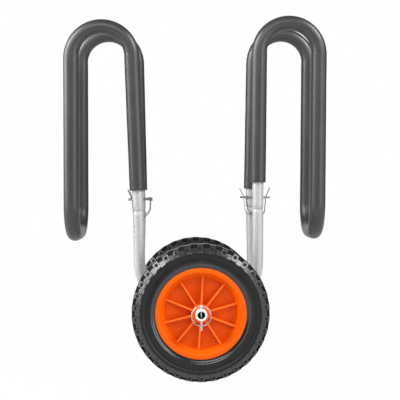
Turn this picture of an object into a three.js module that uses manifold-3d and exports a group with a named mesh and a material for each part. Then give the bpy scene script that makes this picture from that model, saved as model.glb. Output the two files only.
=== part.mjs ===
// A two-wheeled cart for a paddle board or a slim hull. Two padded loops stand over a short axle, and
// the board rides on its edge between their near and far arms. Each loop is one bent tube in a foam
// sleeve. It slides over the swaged tops of two U-shaped lower frames and is locked there by wire-lock
// pins. Lynch pins hold the wheels on the axle, so the whole cart comes apart without tools.
//
// Sizes are in millimetres and angles in degrees. X runs across the cart, Y runs along the axle with
// the near side at -Y, Z is up, and the origin is on the ground under the middle of the axle.
import * as THREE from 'three';
import { mergeVertices } from 'three/addons/utils/BufferGeometryUtils.js';
import Module from 'manifold-3d';

const wasm = await Module();
wasm.setup();

// Fits
const seatGap = 0.3; // between two pieces that touch
const runningGap = 0.4; // between a piece that turns and what it turns on

// Wheels
const wheelRadius = 150; // to the flat tops of the tread blocks
const tyreWidth = 70;
const treadBandHeight = 24; // from the tops of the blocks in to the smooth sidewall
const treadDepth = 4;
const treadBlockCount = 36; // in each of the two rows
const treadBlockShare = 0.5; // part of the pitch that a block takes
const treadGroove = 3; // between the two rows of blocks, round the middle of the tread
const crownInset = 13; // from the tyre's widest plane to the flat part of the tread
const shoulderDrop = 10; // from the tops of the blocks to the shoulder's corner
const shoulderInset = 2; // from the tyre's widest plane to the shoulder's corner
const smoothWallInset = 0.5; // from the tyre's widest plane to the smooth sidewall's edge
const smoothWallHeight = 27.5; // from the tread band in to the rim's flange
const rimWidth = 66;
const rimFlangeThickness = 3;
const rimFlangeHeight = 7; // of the flange over the tyre's seat
const rimLipWidth = 10.5; // of the flange's face
const rimSlopeWidth = 12; // of the slope between the flange's face and the floor of the dish
const rimWebThickness = 8;
const hubWall = 3.3; // round the bush
const ribCount = 10;
const ribThickness = 3.6;
const ribTurn = 5; // the ribs' turn away from upright
const ribHubHeight = 25; // above the middle plane, beside the hub
const ribRimHeight = 15; // above the middle plane, at the rib's outer end
const bushWall = 3;
const bushLip = 3; // hub wall left in front of the bush

// Axle
const axleDiameter = 25;
const axleWall = 3;
const axleOverhang = 25; // of the axle past each rim
const spacerLength = 11.9;
const spacerWall = 3.5;
const lynchInset = 10; // from the axle's end to the lynch pin
const lynchShaftDiameter = 5;
const lynchHeadDiameter = 9.6;
const lynchNeck = 6; // from the axle up to the middle of the head
const lynchTail = 21.5; // of the shaft below the axle
const lynchRingDiameter = 43; // to the middle of the wire
const lynchRingWire = 3;

// Lower frames
const armSpacing = 184; // between the planes of the near and the far arms
const tubeDiameter = 25;
const tubeWall = 1.5;
const lean = 1.25; // the uprights spread as they rise
const jointSpread = 269; // between the uprights, at the joint pins
const jointHeight = 398;
const frameBendRadius = 80;
const copeDepth = 3; // how deep the bottom run is notched over the axle
const jointTail = 24; // loop tube below the pin
const spigotTop = 36; // spigot above the pin
const swageLength = 10;

// Loops and sleeves
const hookRadius = 67;
const hookTopHeight = 786; // of the tube's centre line
const loopBottomHeight = 319; // of the tube's centre line
const foamWall = 5;
const foamEndRise = 22; // of the sleeves' ends above the joint pins
const foamSlip = 18; // how far the right sleeve's near end has crept up its tube

// Wire-lock pins
const pinDiameter = 5;
const pinHeadDiameter = 7;
const pinHeadLength = 8;
const pinHeadStandOff = 11.5; // from the tube to the middle of the head
const pinTipStandOff = 14.5; // from the tube to the tip
const pinTipDiameter = 5.8;
const pinTipLength = 2.5;
const leftNearPinPull = 5; // how far that pin has slid back towards its head
const bowWire = 2.2;
const bowTilt = 18; // the bow leans round the tube
const bowClearance = 0.77; // between the bow and the tube, where it passes under the pin
const bowStemAngle = 4; // in from straight down
const bowTurn = 100;
const bowRiseRadius = 12;
const bowRiseTurn = 72;
const bowRiseLength = 33;
const bowFlareRadius = 6;
const bowFlareTurn = 18;
const bowFlareLength = 22;
const bowHeadBend = 2.5;

// Facets
const wheelSides = treadBlockCount;
const axleSides = 20;
const tubeSides = 10;
const foamSides = 12;
const boreSides = 8;
const pinSides = 8;
const wireSides = 5;
const ringSteps = 18;
const bendSteps = 8; // in half a turn of tube or wire
const bowHeadSteps = 2;
const mergeDistance = 1e-4; // corners closer than this are one

const material = {
  foam: new THREE.MeshStandardMaterial({ color: '#58585b', roughness: 0.75, metalness: 0 }),
  tube: new THREE.MeshStandardMaterial({ color: '#c6c7c8', roughness: 0.5, metalness: 0.6 }),
  zinc: new THREE.MeshStandardMaterial({ color: '#d5d8dc', roughness: 0.3, metalness: 0.9 }),
  wire: new THREE.MeshStandardMaterial({ color: '#85878a', roughness: 0.35, metalness: 0.9 }),
  rim: new THREE.MeshStandardMaterial({ color: '#f4590c', roughness: 0.45, metalness: 0 }),
  rubber: new THREE.MeshStandardMaterial({ color: '#3a3b3d', roughness: 0.8, metalness: 0 }),
  nylon: new THREE.MeshStandardMaterial({ color: '#2b2b2c', roughness: 0.6, metalness: 0 }),
};

const radians = THREE.MathUtils.degToRad;
const acrossCart = new THREE.Vector3(1, 0, 0);
const alongAxle = new THREE.Vector3(0, 1, 0);

// Solids: a closed geometry becomes a solid that can be joined and cut, and back again.

function solidOf(geometry) {
  const bare = new THREE.BufferGeometry();
  bare.setAttribute('position', geometry.attributes.position);
  bare.setIndex(geometry.index);
  const merged = mergeVertices(bare, mergeDistance);
  return new wasm.Manifold(new wasm.Mesh({
    numProp: 3,
    vertProperties: new Float32Array(merged.attributes.position.array),
    triVerts: new Uint32Array(merged.index.array),
  }));
}

function geometryOf(solid) {
  const mesh = solid.getMesh();
  const geometry = new THREE.BufferGeometry();
  geometry.setAttribute('position', new THREE.BufferAttribute(mesh.vertProperties, mesh.numProp));
  geometry.setIndex(new THREE.BufferAttribute(mesh.triVerts, 1));
  geometry.computeVertexNormals();
  return geometry;
}

// A profile of [radius, height] points, turned about the Y axis. The profile runs with the solid on
// its left, and either closes on itself or starts and ends on the axis.
function revolve(profile, sides, firstCorner = 0) {
  const points = profile.map(([radius, height]) => new THREE.Vector2(radius, height));
  return new THREE.LatheGeometry(points, sides, radians(firstCorner));
}

// A bar along the Y axis between two heights, tubular if it has a bore.
function bar(radius, from, to, sides, boreRadius = 0) {
  return revolve([
    [boreRadius, from], [radius, from], [radius, to], [boreRadius, to],
    ...(boreRadius > 0 ? [[boreRadius, from]] : []),
  ], sides);
}

function alongZ(geometry) {
  return geometry.rotateX(Math.PI / 2);
}

function alongX(geometry) {
  return geometry.rotateZ(-Math.PI / 2);
}

// A route is what a tube bender follows: straights and bends, one after the other. Each bend is given
// by its radius, its angle and the axis that it turns about, and only the bends have steps.
class Route extends THREE.Curve {
  constructor(start, heading) {
    super();
    this.stations = [{ place: start.clone(), heading: heading.clone().normalize() }];
  }

  get end() {
    return this.stations[this.stations.length - 1];
  }

  straight(length) {
    const { place, heading } = this.end;
    this.stations.push({ place: place.clone().addScaledVector(heading, length), heading: heading.clone() });
    return this;
  }

  bend(radius, angle, axis, steps = Math.max(1, Math.round(Math.abs(angle) / 180 * bendSteps))) {
    const { place, heading } = this.end;
    const side = Math.sign(angle);
    const centre = place.clone().addScaledVector(axis.clone().cross(heading), side * radius);
    for (let step = 1; step <= steps; step += 1) {
      const turned = radians(angle) * step / steps;
      this.stations.push({
        place: place.clone().sub(centre).applyAxisAngle(axis, turned).add(centre),
        heading: heading.clone().applyAxisAngle(axis, turned),
      });
    }
    return this;
  }

  get steps() {
    return this.stations.length - 1;
  }

  station(share) {
    return this.stations[Math.round(share * this.steps)];
  }

  getPoint(share, target = new THREE.Vector3()) {
    return target.copy(this.station(share).place);
  }

  getPointAt(share, target) {
    return this.getPoint(share, target);
  }

  getTangentAt(share, target = new THREE.Vector3()) {
    return target.copy(this.station(share).heading);
  }
}

function circle(radius, sides, shape = THREE.Shape) {
  const corners = Array.from({ length: sides }, (_, corner) => {
    const turned = 2 * Math.PI * corner / sides;
    return new THREE.Vector2(radius * Math.cos(turned), radius * Math.sin(turned));
  });
  return new shape(corners);
}

// A round bar or tube that follows a route.
function sweep(route, radius, sides, boreRadius = 0, boreCorners = sides) {
  const section = circle(radius, sides);
  if (boreRadius > 0) section.holes.push(circle(boreRadius, boreCorners, THREE.Path));
  return new THREE.ExtrudeGeometry(section, {
    extrudePath: route, steps: route.steps, bevelEnabled: false,
  });
}

// Places that several pieces share

const tubeRadius = tubeDiameter / 2;
const tubeBore = tubeRadius - tubeWall;
const foamRadius = tubeRadius + foamWall;
const axleRadius = axleDiameter / 2;
const axleHeight = wheelRadius;
const leanSlope = Math.tan(radians(lean));
const uprightX = (height) => jointSpread / 2 + (height - jointHeight) * leanSlope;
const armPlane = armSpacing / 2;
const wheelTrack = armSpacing + tubeDiameter + rimWidth + 2 * (spacerLength + 2 * seatGap);
const axleLength = wheelTrack + rimWidth + 2 * axleOverhang;
const hookCentreHeight = hookTopHeight - hookRadius;
const hookStartHeight = hookCentreHeight + hookRadius * Math.sin(radians(lean));
const loopBendHeight = loopBottomHeight + armPlane;
const jointPlace = (side, plane) => new THREE.Vector3(side * jointSpread / 2, plane * armPlane, jointHeight);
const tubeEndHeight = jointHeight - jointTail;
const foamEndHeight = jointHeight + foamEndRise;

const group = new THREE.Group();

function add(name, geometry, look) {
  const mesh = new THREE.Mesh(geometry, look);
  mesh.name = name;
  group.add(mesh);
  return mesh;
}

// Axle: a tube with a cross hole for a lynch pin near each end.

function makeAxle() {
  let axle = solidOf(bar(axleRadius, -axleLength / 2, axleLength / 2, axleSides, axleRadius - axleWall));
  for (const plane of [-1, 1]) {
    const hole = alongZ(bar(lynchShaftDiameter / 2 + seatGap, -axleDiameter, axleDiameter, pinSides));
    hole.translate(0, plane * (axleLength / 2 - lynchInset), 0);
    axle = axle.subtract(solidOf(hole));
  }
  return geometryOf(axle);
}

add('axle_tube', makeAxle(), material.tube).position.z = axleHeight;

// Lower frames: one tube each, bent to a U. Its bottom run is notched over the axle, and its tops are
// drawn down to spigots, which the loop tubes slide over.

const runHeight = axleHeight + axleRadius + tubeRadius - copeDepth;
const frameBendHeight = runHeight + frameBendRadius * (1 - Math.sin(radians(lean)));
const spigotRadius = tubeBore - seatGap;
const swageTopHeight = tubeEndHeight - seatGap;

function frameRoute() {
  const down = new THREE.Vector3(leanSlope, 0, -1).normalize();
  const heights = [jointHeight + spigotTop, swageTopHeight, swageTopHeight - swageLength, frameBendHeight];
  const route = new Route(new THREE.Vector3(-uprightX(heights[0]), 0, heights[0]), down);
  const leg = (from, to) => route.straight((from - to) / Math.cos(radians(lean)));
  heights.slice(1).forEach((height, index) => leg(heights[index], height));
  route.bend(frameBendRadius, lean - 90, alongAxle);
  route.straight(2 * (uprightX(frameBendHeight) - frameBendRadius * Math.cos(radians(lean))));
  route.bend(frameBendRadius, lean - 90, alongAxle);
  heights.slice(1).reverse().forEach((height, index) => {
    leg(heights[heights.length - 2 - index], heights[heights.length - 1 - index]);
  });
  return route;
}

// The first and last two rings of the swept tube are drawn in to the spigot's size.
function drawDownEnds(geometry, route) {
  const position = geometry.attributes.position;
  const corner = new THREE.Vector3();
  const drawShare = spigotRadius / tubeRadius;
  const drawn = [0, 1, route.steps - 1, route.steps].map((step) => route.stations[step]);
  for (let index = 0; index < position.count; index += 1) {
    corner.fromBufferAttribute(position, index);
    const ring = drawn.find(({ place, heading }) => {
      const offset = corner.clone().sub(place);
      return offset.length() < tubeDiameter && Math.abs(offset.dot(heading)) < seatGap / 2;
    });
    if (ring) {
      corner.sub(ring.place).multiplyScalar(drawShare).add(ring.place);
      position.setXYZ(index, corner.x, corner.y, corner.z);
    }
  }
  return geometry;
}

function pinHole() {
  return alongX(bar(pinDiameter / 2 + seatGap, -tubeDiameter, tubeDiameter, pinSides));
}

function makeFrame() {
  const route = frameRoute();
  let frame = solidOf(drawDownEnds(sweep(route, tubeRadius, tubeSides, tubeBore, boreSides), route));
  const notch = bar(axleRadius + seatGap, -tubeDiameter, tubeDiameter, axleSides);
  frame = frame.subtract(solidOf(notch.translate(0, 0, axleHeight)));
  for (const side of [-1, 1]) {
    frame = frame.subtract(solidOf(pinHole().translate(side * jointSpread / 2, 0, jointHeight)));
  }
  return geometryOf(frame);
}

const planes = { near: -1, far: 1 };
const sides = { left: -1, right: 1 };

for (const [planeName, plane] of Object.entries(planes)) {
  add(`lower_frame_${planeName}`, makeFrame(), material.tube).position.y = plane * armPlane;
}

// Loops: each is one tube. It rises from the near joint, hooks over outwards, runs down the outer leg,
// crosses to the far arms in a half circle and comes back the same way.

function loopRoute(side, nearEnd, farEnd) {
  const rising = new THREE.Vector3(side * leanSlope, 0, 1).normalize();
  const route = new Route(new THREE.Vector3(side * uprightX(nearEnd), -armPlane, nearEnd), rising);
  const hookTurn = side * (180 - lean);
  const outerLeg = hookCentreHeight - loopBendHeight;
  route.straight((hookStartHeight - nearEnd) / Math.cos(radians(lean)));
  route.bend(hookRadius, hookTurn, alongAxle);
  route.straight(outerLeg);
  route.bend(armPlane, 180, acrossCart);
  route.straight(outerLeg);
  route.bend(hookRadius, -hookTurn, alongAxle);
  route.straight((hookStartHeight - farEnd) / Math.cos(radians(lean)));
  return route;
}

function makeLoopTube(side) {
  const route = loopRoute(side, tubeEndHeight, tubeEndHeight);
  let tube = solidOf(sweep(route, tubeRadius, tubeSides, tubeBore));
  for (const plane of Object.values(planes)) {
    const place = jointPlace(side, plane);
    tube = tube.subtract(solidOf(pinHole().translate(place.x, place.y, place.z)));
  }
  return geometryOf(tube);
}

function makeSleeve(side, nearEnd, farEnd) {
  return sweep(loopRoute(side, nearEnd, farEnd), foamRadius, foamSides, tubeRadius + seatGap, tubeSides);
}

for (const [sideName, side] of Object.entries(sides)) {
  const nearEnd = foamEndHeight + (sideName === 'right' ? foamSlip : 0);
  add(`loop_tube_${sideName}`, makeLoopTube(side), material.tube);
  add(`foam_sleeve_${sideName}`, makeSleeve(side, nearEnd, foamEndHeight), material.foam);
}

// Wire-lock pins: a pin through each joint, with a wire bow hinged in its head. The bow goes round
// the tube, snaps over the tip and ends in a flared finger grip. In the pin's own frame the head is at
// -X and the bow leans towards its bow side, +Y or -Y.

const pinHeadReach = tubeRadius + pinHeadStandOff;
const pinTipReach = tubeRadius + pinTipStandOff;
const bowOffset = pinHeadDiameter / 2 + bowWire / 2 + seatGap;
// The bow turns round the middle of the tube, as far below the pin as its lean takes to clear the tube.
const bowTurnRadius = pinHeadReach;
const bowDepth = (tubeRadius + bowWire / 2 + bowClearance) / Math.sin(radians(bowTilt));
const bowStemLength = bowDepth - bowTurnRadius - bowHeadBend;

function makePin(bowSide) {
  const shaftRadius = pinDiameter / 2;
  const tipRadius = pinTipDiameter / 2;
  const headRadius = pinHeadDiameter / 2;
  const headEnd = -pinHeadReach - pinHeadLength / 2;
  const headFace = -pinHeadReach + pinHeadLength / 2;
  const pin = solidOf(alongX(revolve([
    [0, headEnd], [headRadius, headEnd], [headRadius, headFace], [shaftRadius, headFace],
    [shaftRadius, pinTipReach - 2 * pinTipLength], [tipRadius, pinTipReach - pinTipLength],
    [shaftRadius / 2, pinTipReach], [0, pinTipReach],
  ], pinSides)));
  const eye = bar(bowWire / 2 + runningGap, -pinHeadDiameter, pinHeadDiameter, pinSides);
  eye.rotateX(bowSide * radians(bowTilt)).translate(-pinHeadReach, 0, 0);
  return geometryOf(pin.subtract(solidOf(eye)));
}

function makeBow(bowSide) {
  const across = alongAxle.clone().multiplyScalar(bowSide);
  const downAxis = acrossCart.clone().multiplyScalar(-bowSide);
  const route = new Route(new THREE.Vector3(-pinHeadReach, -bowSide * bowOffset, 0), across);
  route.straight(2 * bowOffset - bowHeadBend);
  route.bend(bowHeadBend, 90, downAxis, bowHeadSteps);
  route.bend(bowHeadBend, -bowStemAngle, alongAxle, 1);
  route.straight(bowStemLength);
  route.bend(bowTurnRadius, -bowTurn, alongAxle);
  route.bend(bowRiseRadius, -bowRiseTurn, alongAxle);
  route.straight(bowRiseLength);
  route.bend(bowFlareRadius, bowFlareTurn, alongAxle, 1);
  route.straight(bowFlareLength);
  return sweep(route, bowWire / 2, wireSides).rotateX(bowSide * radians(bowTilt));
}

// Each pin is entered from its head's side of the tube, and its bow passes on the inner side of the arm.
const pinTable = [
  { side: 'left', plane: 'near', headInside: true, pull: leftNearPinPull },
  { side: 'right', plane: 'near', headInside: true, pull: 0 },
  { side: 'left', plane: 'far', headInside: true, pull: 0 },
  { side: 'right', plane: 'far', headInside: false, pull: 0 },
];

for (const { side, plane, headInside, pull } of pinTable) {
  const tipDirection = sides[side] * (headInside ? 1 : -1);
  const bowSide = -planes[plane] * tipDirection;
  const joint = new THREE.Group();
  joint.position.copy(jointPlace(sides[side], planes[plane]));
  joint.position.x -= tipDirection * pull;
  joint.rotation.z = tipDirection > 0 ? 0 : Math.PI;
  for (const [name, geometry, look] of [
    [`joint_pin_${side}_${plane}`, makePin(bowSide), material.wire],
    [`pin_bow_${side}_${plane}`, makeBow(bowSide), material.wire],
  ]) {
    const mesh = new THREE.Mesh(geometry, look);
    mesh.name = name;
    joint.add(mesh);
  }
  group.add(joint);
}

// Wheels: a dished and ribbed rim, moulded in one piece, with a solid tyre and a bush in its hub.
// The outer side is +Y in the wheel's own frame.

const rimHalf = rimWidth / 2;
const webHalf = rimWebThickness / 2;
const smoothWallRadius = wheelRadius - treadBandHeight;
const rimFlangeRadius = smoothWallRadius - smoothWallHeight;
const rimMouthRadius = rimFlangeRadius - rimLipWidth;
const rimFloorRadius = rimMouthRadius - rimSlopeWidth;
const beadRadius = rimFlangeRadius - rimFlangeHeight;
const bushRadius = axleRadius + runningGap + bushWall;
const bushEnd = rimHalf - bushLip;
const hubRadius = bushRadius + seatGap + hubWall;

function makeRib(turned, face) {
  const outline = new THREE.Shape([
    new THREE.Vector2(hubRadius - ribThickness, 0),
    new THREE.Vector2(rimFloorRadius + ribThickness, 0),
    new THREE.Vector2(rimMouthRadius, ribRimHeight),
    new THREE.Vector2(hubRadius - ribThickness, ribHubHeight),
  ]);
  const rib = new THREE.ExtrudeGeometry(outline, { depth: ribThickness, bevelEnabled: false });
  rib.translate(0, 0, -ribThickness / 2).rotateY(-Math.PI / 2);
  if (face < 0) rib.rotateZ(Math.PI);
  return rib.rotateY(radians(turned));
}

function makeRim() {
  const flangeInner = rimHalf - rimFlangeThickness;
  const barrelRadius = beadRadius - seatGap;
  const face = [
    [rimFloorRadius, webHalf], [rimMouthRadius, rimHalf], [rimFlangeRadius, rimHalf],
    [rimFlangeRadius, flangeInner], [barrelRadius, flangeInner],
  ];
  const mirrored = face.map(([radius, height]) => [radius, -height]);
  const profile = [[0, -webHalf], ...mirrored, ...face.reverse(), [0, webHalf]];
  let rim = solidOf(revolve(profile, wheelSides, 180 / wheelSides));
  rim = rim.add(solidOf(bar(hubRadius, -rimHalf, rimHalf, axleSides)));
  for (let rib = 0; rib < ribCount; rib += 1) {
    for (const side of [-1, 1]) rim = rim.add(solidOf(makeRib(rib * 360 / ribCount - ribTurn, side)));
  }
  const lipBore = bar(axleRadius + runningGap, -rimWidth, rimWidth, axleSides);
  const bushSeat = bar(bushRadius + seatGap, -rimWidth, bushEnd, axleSides);
  return geometryOf(rim.subtract(solidOf(lipBore)).subtract(solidOf(bushSeat)));
}

function makeBush() {
  return bar(bushRadius, -rimHalf, bushEnd - seatGap, axleSides, axleRadius + runningGap);
}

// The tyre is drawn half by half, each with its own row of tread blocks, and the rows are staggered
// by half a pitch. Every half runs from the groove between the rows to the bead: round each block,
// along the floor of each gap, up the walls between them and down the smooth sidewall.
function makeTyre() {
  const pitch = 2 * Math.PI / treadBlockCount;
  const blockHalf = pitch * treadBlockShare / 2;
  const beadHalf = rimHalf - rimFlangeThickness - seatGap;
  const floorRadius = wheelRadius - treadDepth;
  const topRadius = wheelRadius / Math.cos(blockHalf);
  const tyreHalf = tyreWidth / 2;
  const block = [
    [floorRadius, treadGroove / 2], [topRadius, treadGroove / 2], [topRadius, tyreHalf - crownInset],
    [wheelRadius - shoulderDrop, tyreHalf - shoulderInset], [smoothWallRadius, tyreHalf - smoothWallInset],
  ];
  const floor = [block[0], [floorRadius, tyreHalf - crownInset - treadDepth], block[4]];
  const wall = [
    [(rimFlangeRadius + smoothWallRadius) / 2, tyreHalf],
    [rimFlangeRadius + seatGap, beadHalf], [beadRadius, beadHalf], [beadRadius, 0],
  ];
  const corners = [];
  const at = (row, [radius, height], turned) => (
    new THREE.Vector3(radius * Math.sin(turned), row * height, radius * Math.cos(turned))
  );
  const face = (row, first, ...rest) => {
    for (let corner = 1; corner < rest.length; corner += 1) {
      const pair = [rest[corner - 1], rest[corner]];
      corners.push(first, ...(row > 0 ? pair : pair.reverse()));
    }
  };
  const strip = (row, profile, from, to) => {
    for (let step = 1; step < profile.length; step += 1) {
      const [inner, outer] = [profile[step - 1], profile[step]];
      face(row, at(row, inner, from), at(row, inner, to), at(row, outer, to), at(row, outer, from));
    }
  };
  for (let count = 0; count < treadBlockCount; count += 1) {
    for (const row of [-1, 1]) {
      const centre = (count + (row < 0 ? 0.5 : 0)) * pitch;
      const [from, to, next] = [centre - blockHalf, centre + blockHalf, centre + pitch - blockHalf];
      strip(row, block, from, to);
      strip(row, floor, to, next);
      const side = (turned) => [floor[1], ...[...block].reverse()].map((point) => at(row, point, turned));
      face(row, ...side(to));
      face(-row, ...side(from));
      // The sidewall's corners lie midway between blocks in one half and on their centres in the other.
      const corner = (count + 0.5) * pitch;
      const [before, after, further] = row > 0 ? [to, next, to + pitch] : [from, to, next];
      const wallTop = at(row, wall[0], corner);
      const nextTop = at(row, wall[0], corner + pitch);
      const edge = (turned) => at(row, block[4], turned);
      face(row, wallTop, edge(before), edge(after));
      face(row, wallTop, edge(after), edge(further), nextTop);
      strip(row, wall, corner, corner + pitch);
    }
    // The groove's floor joins the two rows, block to gap and gap to block.
    const near = (angle) => at(1, block[0], count * pitch + angle);
    const far = (angle) => at(-1, block[0], (count + 0.5) * pitch + angle);
    face(1, far(blockHalf - pitch), far(-blockHalf), near(blockHalf), near(-blockHalf));
    face(1, far(-blockHalf), far(blockHalf), near(pitch - blockHalf), near(blockHalf));
  }
  return geometryOf(solidOf(new THREE.BufferGeometry().setFromPoints(corners)));
}

// Lynch pins: the shaft drops through the axle, and the ring hangs round the axle's end.

const lynchHeadRise = axleRadius + lynchNeck;
const lynchDrop = axleRadius + lynchTail;

function makeLynchPin() {
  const shaftRadius = lynchShaftDiameter / 2;
  const headRadius = lynchHeadDiameter / 2;
  const collarHeight = axleRadius + seatGap;
  const pin = solidOf(alongZ(revolve([
    [0, -lynchDrop], [shaftRadius / 2, -lynchDrop], [shaftRadius, shaftRadius / 2 - lynchDrop],
    [shaftRadius, collarHeight], [headRadius / 2 + shaftRadius / 2, collarHeight],
    [headRadius, lynchHeadRise - headRadius / 2], [headRadius, lynchHeadRise + headRadius / 2],
    [headRadius / 2, lynchHeadRise + headRadius], [0, lynchHeadRise + headRadius],
  ], pinSides)));
  const eyeRadius = lynchRingWire / 2 + 2 * runningGap;
  const eye = alongX(bar(eyeRadius, -lynchHeadDiameter, lynchHeadDiameter, pinSides));
  return geometryOf(pin.subtract(solidOf(eye.translate(0, 0, lynchHeadRise))));
}

function makeLynchRing(outward) {
  const leanOut = Math.asin((lynchShaftDiameter / 2 + lynchRingWire / 2 + seatGap) / lynchRingDiameter);
  const ring = new THREE.TorusGeometry(lynchRingDiameter / 2, lynchRingWire / 2, wireSides, ringSteps);
  ring.rotateX(Math.PI / 2).translate(0, 0, -lynchRingDiameter / 2);
  return ring.rotateX(outward * leanOut);
}

const spacerInner = armPlane + tubeRadius + seatGap;
const spacerBore = axleRadius + seatGap;

for (const [planeName, plane] of Object.entries(planes)) {
  const wheel = new THREE.Group();
  wheel.position.set(0, plane * wheelTrack / 2, axleHeight);
  wheel.rotation.z = plane > 0 ? 0 : Math.PI;
  for (const [name, geometry, look] of [
    [`rim_${planeName}`, makeRim(), material.rim],
    [`hub_bush_${planeName}`, makeBush(), material.nylon],
    [`tyre_${planeName}`, makeTyre(), material.rubber],
  ]) {
    const mesh = new THREE.Mesh(geometry, look);
    mesh.name = name;
    wheel.add(mesh);
  }
  group.add(wheel);

  const spacerEnd = spacerInner + spacerLength;
  const spacer = bar(spacerBore + spacerWall, spacerInner, spacerEnd, axleSides, spacerBore);
  if (plane < 0) spacer.rotateX(Math.PI);
  add(`wheel_spacer_${planeName}`, spacer, material.nylon).position.z = axleHeight;

  const pinY = plane * (axleLength / 2 - lynchInset);
  add(`lynch_pin_${planeName}`, makeLynchPin(), material.zinc).position.set(0, pinY, axleHeight);
  add(`lynch_ring_${planeName}`, makeLynchRing(plane), material.zinc)
    .position.set(0, pinY, axleHeight + lynchHeadRise);
}

export default group;
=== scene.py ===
# A two-wheeled cart that carries a paddle board or a slim hull upright on its edge. Two tube loops
# in foam sleeves are pinned on two U-shaped lower frames over a short axle, with a wheel at each
# end. Lengths are in metres and angles in degrees. X runs across the cart, Y along the axle from
# the near wheel to the far one, and Z up.
import math

import bmesh
import bpy
from mathutils import Matrix, Vector, noise


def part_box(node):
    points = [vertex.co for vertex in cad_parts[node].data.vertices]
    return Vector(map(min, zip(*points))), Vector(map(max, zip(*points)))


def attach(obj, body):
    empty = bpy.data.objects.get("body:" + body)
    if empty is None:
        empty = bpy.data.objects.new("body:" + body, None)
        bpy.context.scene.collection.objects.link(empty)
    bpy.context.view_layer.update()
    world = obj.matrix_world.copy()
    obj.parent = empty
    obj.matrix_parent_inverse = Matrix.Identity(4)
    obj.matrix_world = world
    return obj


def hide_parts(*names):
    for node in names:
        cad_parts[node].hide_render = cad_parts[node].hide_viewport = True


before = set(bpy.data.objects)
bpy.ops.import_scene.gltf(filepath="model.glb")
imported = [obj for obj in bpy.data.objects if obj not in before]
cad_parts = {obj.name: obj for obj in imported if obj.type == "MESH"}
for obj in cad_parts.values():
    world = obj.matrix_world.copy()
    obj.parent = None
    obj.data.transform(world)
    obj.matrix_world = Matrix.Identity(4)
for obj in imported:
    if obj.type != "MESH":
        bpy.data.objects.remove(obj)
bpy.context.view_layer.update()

scene = bpy.context.scene
x_axis, y_axis, z_axis = Vector((1, 0, 0)), Vector((0, 1, 0)), Vector((0, 0, 1))
sides = {"left": -1, "right": 1}
planes = {"near": -1, "far": 1}


def add_object(name, data):
    """Adds an object with the given mesh, lamp or camera to the scene."""
    added = bpy.data.objects.new(name, data)
    scene.collection.objects.link(added)
    return added


# The camera stands 2.3 m in front of the near wheel, a little to the left and half way up. It is
# turned slightly to the right and down, and its horizon isn't quite level.
camera_place = (-0.064, -2.262, 0.4152)
camera_yaw, camera_pitch, camera_roll = -1.810, -0.546, -0.931
camera_lens, camera_sensor = 87.15, 36

camera_data = bpy.data.cameras.new("camera")
camera_data.lens, camera_data.sensor_width = camera_lens, camera_sensor
camera = add_object("camera", camera_data)
camera.matrix_world = (
    Matrix.Translation(camera_place)
    @ Matrix.Rotation(math.radians(camera_yaw), 4, "Z")
    @ Matrix.Rotation(math.radians(90 + camera_pitch), 4, "X")
    @ Matrix.Rotation(math.radians(camera_roll), 4, "Z")
)
scene.camera = camera
scene.view_settings.view_transform = "Standard"


# The studio has a white surround and floor, a tall soft lamp at the left, a weak one at the right,
# one high on each side and a wide one over the camera. Black cloth, which the camera doesn't see,
# hangs over the lamps, behind the camera and at the back on each side, to give gloss dark edges.
surround_level = 0.5
floor_half, floor_share, floor_tone = 8, 0.98, 0.65
cloth_tone = 0.03
lamp_aim = Vector((0, 0, 0.4))
lamps = {
    # Its place, its width and height, and its power in watts.
    "lamp_left": ((-1.9, -0.15, 1.15), (1.1, 1.3), 36),
    "lamp_right": ((1.5, -1.75, 0.8), (0.75, 1.5), 13),
    "lamp_high_left": ((-1.5, -0.75, 1.83), (0.9, 0.6), 33),
    "lamp_high_right": ((1.5, -0.75, 1.83), (0.9, 0.6), 33),
    "lamp_front": ((-0.4, -2.4, 1.9), (1.6, 0.9), 25),
}
room_half, room_front, room_back, room_height = 3.0, -3.4, 2.6, 2.7
left_wall_front, right_wall_front = 0.9, 0.1
backdrop_half = 1.05


def empty_tree(owner):
    """The cleared node tree of a material or a world."""
    owner.use_nodes = True
    owner.node_tree.nodes.clear()
    return owner.node_tree


def add_node(tree, kind, inputs=(), **settings):
    """Adds a node to a tree. An input is a value, or the output socket that feeds it."""
    added = tree.nodes.new(kind)
    for name, value in settings.items():
        setattr(added, name, value)
    for name, value in dict(inputs).items():
        if isinstance(value, bpy.types.NodeSocket):
            tree.links.new(value, added.inputs[name])
        else:
            added.inputs[name].default_value = value
    return added


def combine(tree, operation, first, second):
    """The output of a Math node."""
    return add_node(tree, "ShaderNodeMath", {0: first, 1: second}, operation=operation).outputs[0]


def shown_rays(tree):
    """A mask of the rays that show the backdrop: the camera's and those off gloss or in glass."""
    rays = add_node(tree, "ShaderNodeLightPath").outputs
    seen = combine(tree, "MAXIMUM", rays["Is Camera Ray"], rays["Is Transmission Ray"])
    return combine(tree, "MAXIMUM", seen, rays["Is Glossy Ray"])


def add_stage(name, bm, finish):
    """Makes a part of the studio of a bmesh. It isn't a part of the cart."""
    mesh = bpy.data.meshes.new(name)
    bm.to_mesh(mesh)
    bm.free()
    mesh.materials.append(finish)
    added = add_object(name, mesh)
    return added


surround = bpy.data.worlds.new("surround")
surround_tree = empty_tree(surround)
level = add_node(surround_tree, "ShaderNodeMapRange", {
    "Value": shown_rays(surround_tree), "To Min": surround_level, "To Max": 1.0})
sky = add_node(surround_tree, "ShaderNodeBackground", {
    "Color": (1, 1, 1, 1), "Strength": level.outputs[0]})
add_node(surround_tree, "ShaderNodeOutputWorld", {"Surface": sky.outputs[0]})
scene.world = surround

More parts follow.
